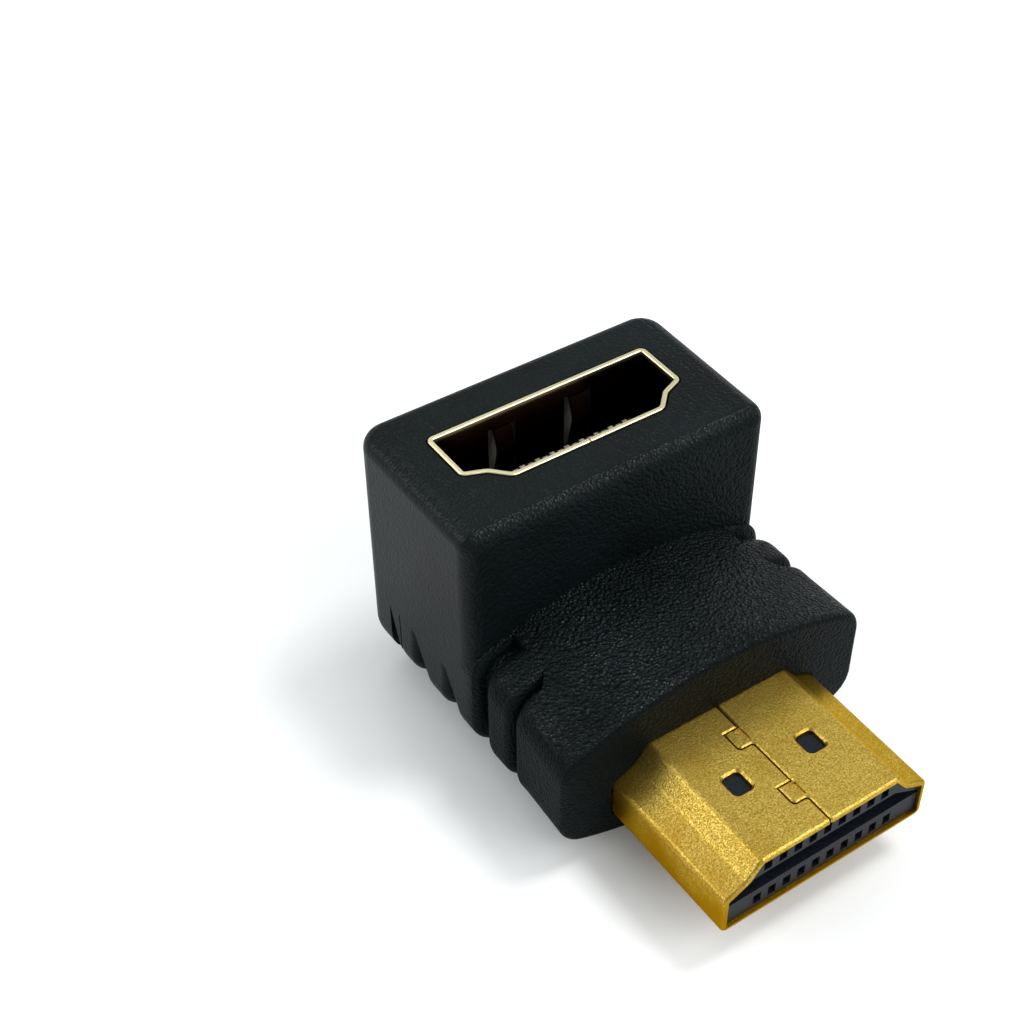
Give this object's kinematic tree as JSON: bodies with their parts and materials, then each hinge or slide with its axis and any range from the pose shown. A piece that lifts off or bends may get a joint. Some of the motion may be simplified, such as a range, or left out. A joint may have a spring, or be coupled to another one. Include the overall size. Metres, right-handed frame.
{
  "type": "right angle video adapter",
  "caption": "Right angle video adapter, flat shell plug to upright socket, with ribbed finger pockets in its moulded body.",
  "frame": {"origin": "middle of the overall outline, on the surface that the adapter lies on", "axes": "X across the width, the plug points to -Y, the socket opens to +Z"},
  "size_m": [0.0204, 0.0298, 0.0173],
  "materials": {
    "body_plastic": "fine leather-like grain, near black",
    "inner_plastic": "plain moulded, hidden",
    "gold_shell": "gold plated folded sheet, satin",
    "insulator_plastic": "plain moulded, black",
    "board": "laminate, hidden",
    "gold_contact": "gold plated, smooth"
  },
  "bodies": {
    "root": {"housing": "body_plastic", "inner_mould": "inner_plastic", "plug_shell": "gold_shell", "lower_contact_block": "insulator_plastic", "upper_contact_block": "insulator_plastic", "contact_spacer": "insulator_plastic", "circuit_board": "board", "socket_shell": "gold_shell", "socket_insulator": "insulator_plastic", "plug_contact_01": "gold_contact", "plug_contact_02": "gold_contact", "plug_contact_03": "gold_contact", "plug_contact_04": "gold_contact", "plug_contact_05": "gold_contact", "plug_contact_06": "gold_contact", "plug_contact_07": "gold_contact", "plug_contact_08": "gold_contact", "plug_contact_09": "gold_contact", "plug_contact_10": "gold_contact", "plug_contact_11": "gold_contact", "plug_contact_12": "gold_contact", "plug_contact_13": "gold_contact", "plug_contact_14": "gold_contact", "plug_contact_15": "gold_contact", "plug_contact_16": "gold_contact", "plug_contact_17": "gold_contact", "plug_contact_18": "gold_contact", "plug_contact_19": "gold_contact", "socket_contact_01": "gold_contact", "socket_contact_02": "gold_contact", "socket_contact_03": "gold_contact", "socket_contact_04": "gold_contact", "socket_contact_05": "gold_contact", "socket_contact_06": "gold_contact", "socket_contact_07": "gold_contact", "socket_contact_08": "gold_contact", "socket_contact_09": "gold_contact", "socket_contact_10": "gold_contact", "socket_contact_11": "gold_contact", "socket_contact_12": "gold_contact", "socket_contact_13": "gold_contact", "socket_contact_14": "gold_contact", "socket_contact_15": "gold_contact", "socket_contact_16": "gold_contact", "socket_contact_17": "gold_contact", "socket_contact_18": "gold_contact", "socket_contact_19": "gold_contact"}
  },
  "joints": []
}
